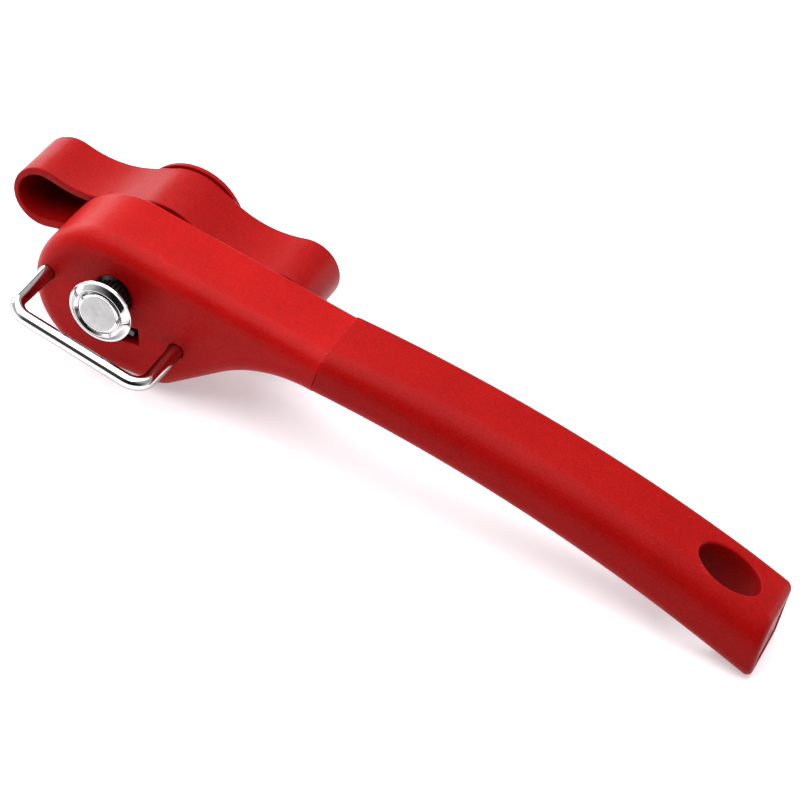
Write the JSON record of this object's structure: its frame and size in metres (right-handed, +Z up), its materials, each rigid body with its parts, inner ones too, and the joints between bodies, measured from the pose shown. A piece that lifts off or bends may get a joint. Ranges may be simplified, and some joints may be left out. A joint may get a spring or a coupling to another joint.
{
  "type": "manual can opener",
  "caption": "Manual can opener: round head with a stepped cutting wheel and chromed wire guard, a hollow two-lobed turning knob behind, and a curved grip with a hanging slot.",
  "frame": {"origin": "centre of the bounding box on X and Y, at the level of the surface that the opener lies on, which its head and the end of its grip touch", "axes": "+Z up, +X from the head towards the end of the grip, +Y from the cutting wheel towards the knob, parallel to the drive axis"},
  "size_m": [0.208, 0.057, 0.0374],
  "materials": {
    "red_plastic": "satin, fine moulded grain",
    "chrome_plate": "polished",
    "steel": "zinc-plated, satin",
    "hardened_steel": "ground, slightly dark",
    "bronze": "sintered, dull"
  },
  "bodies": {
    "root": {"head_housing": "red_plastic", "rear_cover": "red_plastic", "cover_screws": "steel", "bearing_sleeve": "steel", "stop_plate": "steel", "guard_wire": "chrome_plate", "guard_clamp_plate": "steel", "grip": "red_plastic", "tang_pin": "steel", "end_plug": "red_plastic"},
    "eccentric": {"eccentric_bush": "hardened_steel", "friction_washer": "steel"},
    "drive": {"drive_shaft": "hardened_steel", "thrust_washer": "steel", "feed_wheel": "hardened_steel", "wheel_cap": "chrome_plate", "shaft_clip": "steel", "knob_shell": "red_plastic", "knob_washer": "steel", "knob_screw": "steel", "knob_hub_cap": "red_plastic"},
    "cutter": {"cutter_wheel": "chrome_plate", "cutter_bushing": "bronze"}
  },
  "joints": [
    {"name": "bush_swing", "type": "hinge", "parent": "root", "child": "eccentric", "pos_m": [-0.06468, -0.01057, 0.02355], "axis": [0, 1, 0], "range_deg": [0, 150]},
    {"name": "knob_spin", "type": "hinge", "parent": "eccentric", "child": "drive", "pos_m": [-0.06368, -0.01057, 0.02346], "axis": [0, 1, 0], "continuous": true},
    {"name": "cutter_spin", "type": "hinge", "parent": "drive", "child": "cutter", "pos_m": [-0.06368, -0.01057, 0.02346], "axis": [0, 1, 0], "continuous": true}
  ]
}
